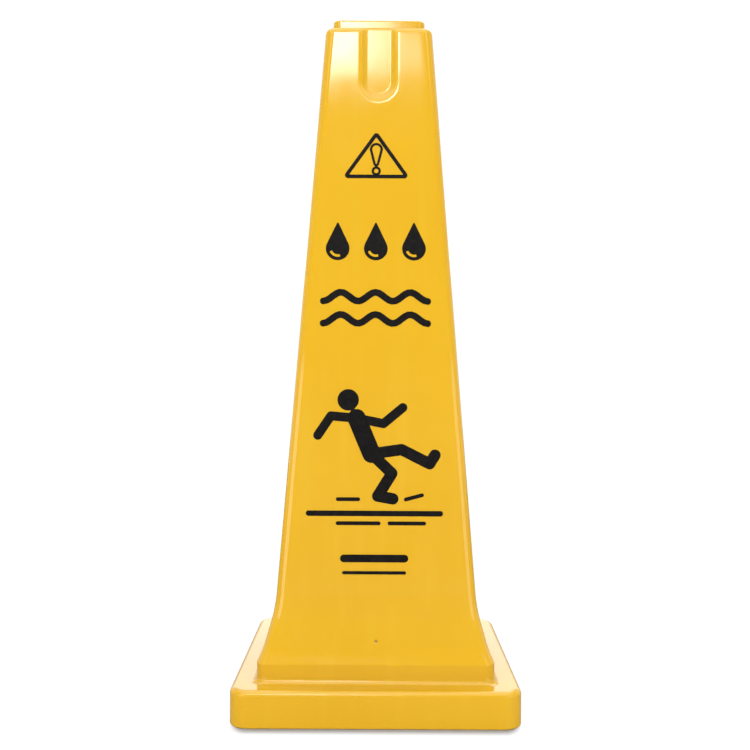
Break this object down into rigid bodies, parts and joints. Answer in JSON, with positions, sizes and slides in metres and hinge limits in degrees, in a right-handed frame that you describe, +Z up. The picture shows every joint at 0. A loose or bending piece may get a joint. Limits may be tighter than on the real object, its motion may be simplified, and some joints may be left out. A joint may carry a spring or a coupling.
{
  "type": "wet floor sign",
  "caption": "Four-sided hollow safety cone on a stepped square base, with a raised rim, a pocket in the top of each face, and plain wet-floor pictograms.",
  "frame": {"origin": "centre of the square base, on the floor", "axes": "+Z up through the middle of the rim, -Y out of the front face, +X to its right"},
  "size_m": [0.261, 0.261, 0.655],
  "materials": {
    "yellow_plastic": "glossy moulded safety-yellow plastic",
    "black_ink": "satin black screen-printing ink"
  },
  "bodies": {
    "root": {"cone_shell": "yellow_plastic", "front_caution_triangle": "black_ink", "front_exclamation_mark": "black_ink", "front_water_drops": "black_ink", "front_water_waves": "black_ink", "front_slipping_figure": "black_ink", "front_skid_lines": "black_ink", "front_trim_rules": "black_ink", "right_caution_triangle": "black_ink", "right_exclamation_mark": "black_ink", "right_water_drops": "black_ink", "right_water_waves": "black_ink", "right_slipping_figure": "black_ink", "right_skid_lines": "black_ink", "right_trim_rules": "black_ink", "back_caution_triangle": "black_ink", "back_exclamation_mark": "black_ink", "back_water_drops": "black_ink", "back_water_waves": "black_ink", "back_slipping_figure": "black_ink", "back_skid_lines": "black_ink", "back_trim_rules": "black_ink", "left_caution_triangle": "black_ink", "left_exclamation_mark": "black_ink", "left_water_drops": "black_ink", "left_water_waves": "black_ink", "left_slipping_figure": "black_ink", "left_skid_lines": "black_ink", "left_trim_rules": "black_ink"}
  },
  "joints": []
}
